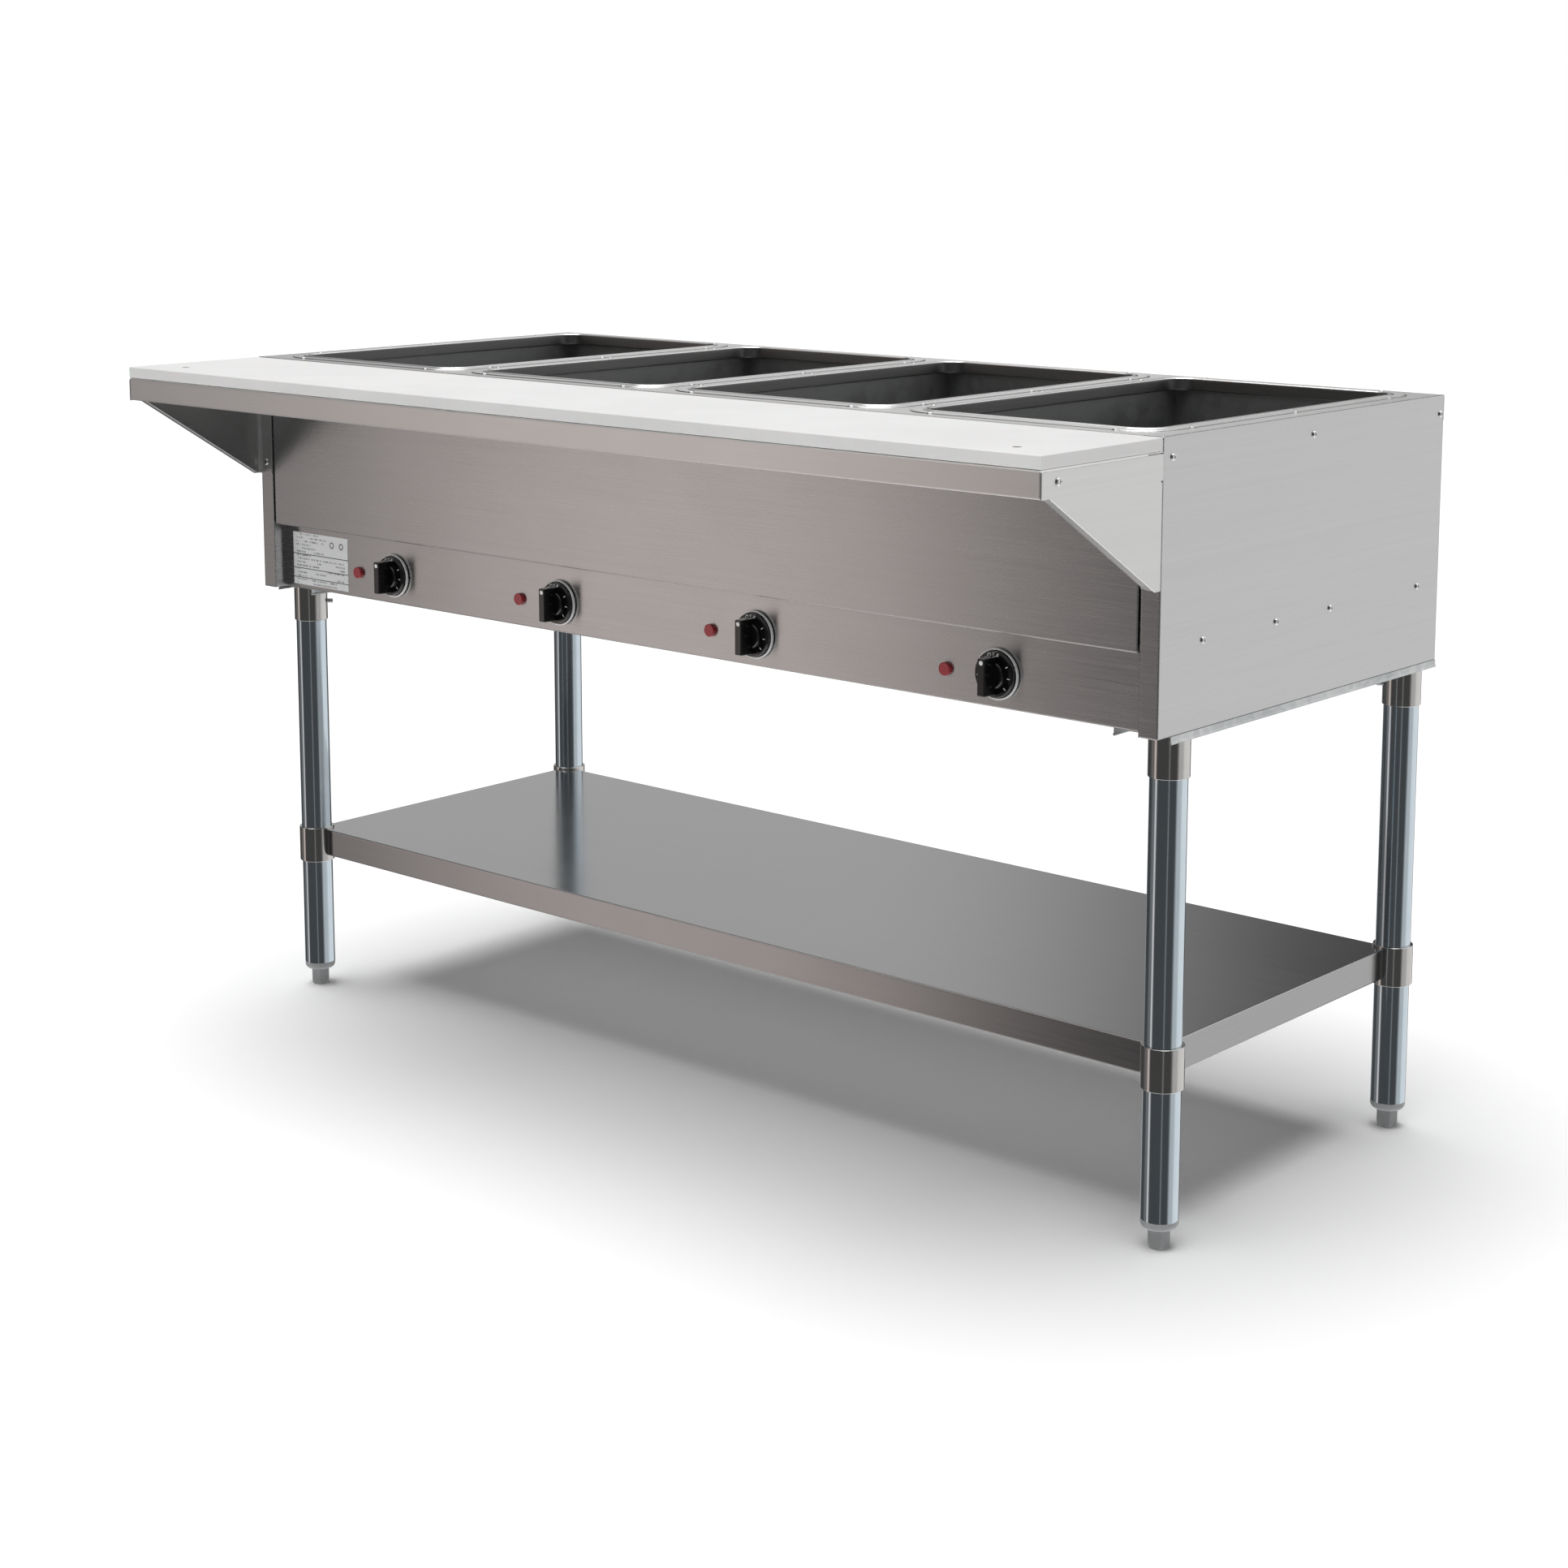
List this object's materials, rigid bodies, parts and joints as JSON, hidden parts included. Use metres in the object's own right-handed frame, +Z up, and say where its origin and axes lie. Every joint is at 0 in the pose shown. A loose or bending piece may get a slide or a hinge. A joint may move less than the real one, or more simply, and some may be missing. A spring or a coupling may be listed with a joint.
{
  "type": "steam table",
  "caption": "Electric steam table: open wells in a stainless body on tubular legs, with rotary controls, an undershelf and a white cutting board on a front shelf.",
  "frame": {"origin": "on the floor below the middle of the table's bounding box", "axes": "+Z up, +X along the table, controls and cutting board on the -Y side"},
  "size_m": [1.466, 0.793, 0.8882],
  "materials": {
    "stainless_casing": "satin stainless sheet, long grain",
    "stainless_turned": "polished stainless tube",
    "galvanised_sheet": "zinc-coated sheet",
    "galvanised_liner": "dull galvanised sheet",
    "galvanised_tube": "smooth bluish galvanised tube",
    "element_sheath": "heat-darkened alloy sheath",
    "brass_fittings": "plain turned brass",
    "mineral_wool": "loose fibre batt",
    "regulator_body": "moulded phenolic",
    "zinc_hardware": "bright zinc plate",
    "stainless_screws": "polished stainless screws",
    "locating_pin": "turned aluminium",
    "knob_moulding": "glossy black phenolic",
    "lamp_lens": "translucent red",
    "lamp_barrel": "white moulded barrel",
    "data_plate": null,
    "gland_plastic": "black nylon",
    "terminal_moulding": "cream moulded block",
    "board_white": "white polyethylene",
    "foot_plastic": "grey nylon"
  },
  "bodies": {
    "root": {"deck_top": "stainless_casing", "end_panel_left": "stainless_casing", "end_panel_right": "stainless_casing", "rear_panel": "stainless_casing", "front_panel_upper": "stainless_casing", "control_panel": "stainless_casing", "board_shelf": "stainless_casing", "board_bracket_left": "stainless_casing", "board_bracket_right": "stainless_casing", "leg_sockets": "stainless_turned", "bottom_pan": "galvanised_sheet", "heat_shield_tray": "galvanised_sheet", "leg_rail_left": "galvanised_sheet", "leg_rail_right": "galvanised_sheet", "well_liner_1": "galvanised_liner", "well_liner_2": "galvanised_liner", "well_liner_3": "galvanised_liner", "well_liner_4": "galvanised_liner", "leg_tubes": "galvanised_tube", "heating_element_1": "element_sheath", "heating_element_2": "element_sheath", "heating_element_3": "element_sheath", "heating_element_4": "element_sheath", "element_saddles": "element_sheath", "element_glands": "brass_fittings", "well_insulation": "mineral_wool", "thermostat_1": "regulator_body", "thermostat_2": "regulator_body", "thermostat_3": "regulator_body", "thermostat_4": "regulator_body", "thermostat_nuts": "zinc_hardware", "socket_set_screws": "zinc_hardware", "end_panel_screws": "stainless_screws", "rear_panel_screws": "stainless_screws", "bracket_screws": "stainless_screws", "locating_pins": "locating_pin", "lamp_lenses": "lamp_lens", "lamp_bodies": "lamp_barrel", "rating_plate": "data_plate", "cable_gland": "gland_plastic", "terminal_block": "terminal_moulding", "leg_caps": "foot_plastic"},
    "control_1": {"knob_1": "knob_moulding", "knob_shaft_1": "zinc_hardware"},
    "levelling_foot_1": {"foot_1": "foot_plastic"},
    "control_2": {"knob_2": "knob_moulding", "knob_shaft_2": "zinc_hardware"},
    "levelling_foot_2": {"foot_2": "foot_plastic"},
    "control_3": {"knob_3": "knob_moulding", "knob_shaft_3": "zinc_hardware"},
    "levelling_foot_3": {"foot_3": "foot_plastic"},
    "control_4": {"knob_4": "knob_moulding", "knob_shaft_4": "zinc_hardware"},
    "levelling_foot_4": {"foot_4": "foot_plastic"},
    "lower_shelf": {"undershelf": "stainless_casing", "shelf_stiffener": "stainless_casing", "shelf_collars": "stainless_turned", "collar_set_screws": "zinc_hardware"},
    "board": {"cutting_board": "board_white"}
  },
  "joints": [
    {"name": "knob_turn_1", "type": "hinge", "parent": "root", "child": "control_1", "pos_m": [-0.484, -0.1875, 0.6098], "axis": [0, 1, 0], "range_deg": [0, 300]},
    {"name": "knob_turn_2", "type": "hinge", "parent": "root", "child": "control_2", "pos_m": [-0.172, -0.1875, 0.6098], "axis": [0, 1, 0], "range_deg": [0, 300]},
    {"name": "knob_turn_3", "type": "hinge", "parent": "root", "child": "control_3", "pos_m": [0.156, -0.1875, 0.6098], "axis": [0, 1, 0], "range_deg": [0, 300]},
    {"name": "knob_turn_4", "type": "hinge", "parent": "root", "child": "control_4", "pos_m": [0.509, -0.1875, 0.6098], "axis": [0, 1, 0], "range_deg": [0, 300]},
    {"name": "foot_adjust_1", "type": "slide", "parent": "root", "child": "levelling_foot_1", "axis": [0, 0, -1], "range_m": [0, 0.025]},
    {"name": "foot_adjust_2", "type": "slide", "parent": "root", "child": "levelling_foot_2", "axis": [0, 0, -1], "range_m": [0, 0.025]},
    {"name": "foot_adjust_3", "type": "slide", "parent": "root", "child": "levelling_foot_3", "axis": [0, 0, -1], "range_m": [0, 0.025]},
    {"name": "foot_adjust_4", "type": "slide", "parent": "root", "child": "levelling_foot_4", "axis": [0, 0, -1], "range_m": [0, 0.025]},
    {"name": "shelf_height", "type": "slide", "parent": "root", "child": "lower_shelf", "axis": [0, 0, 1], "range_m": [-0.1, 0.2]},
    {"name": "board_lift", "type": "slide", "parent": "root", "child": "board", "axis": [0, 0, 1], "range_m": [0, 0.06]}
  ]
}
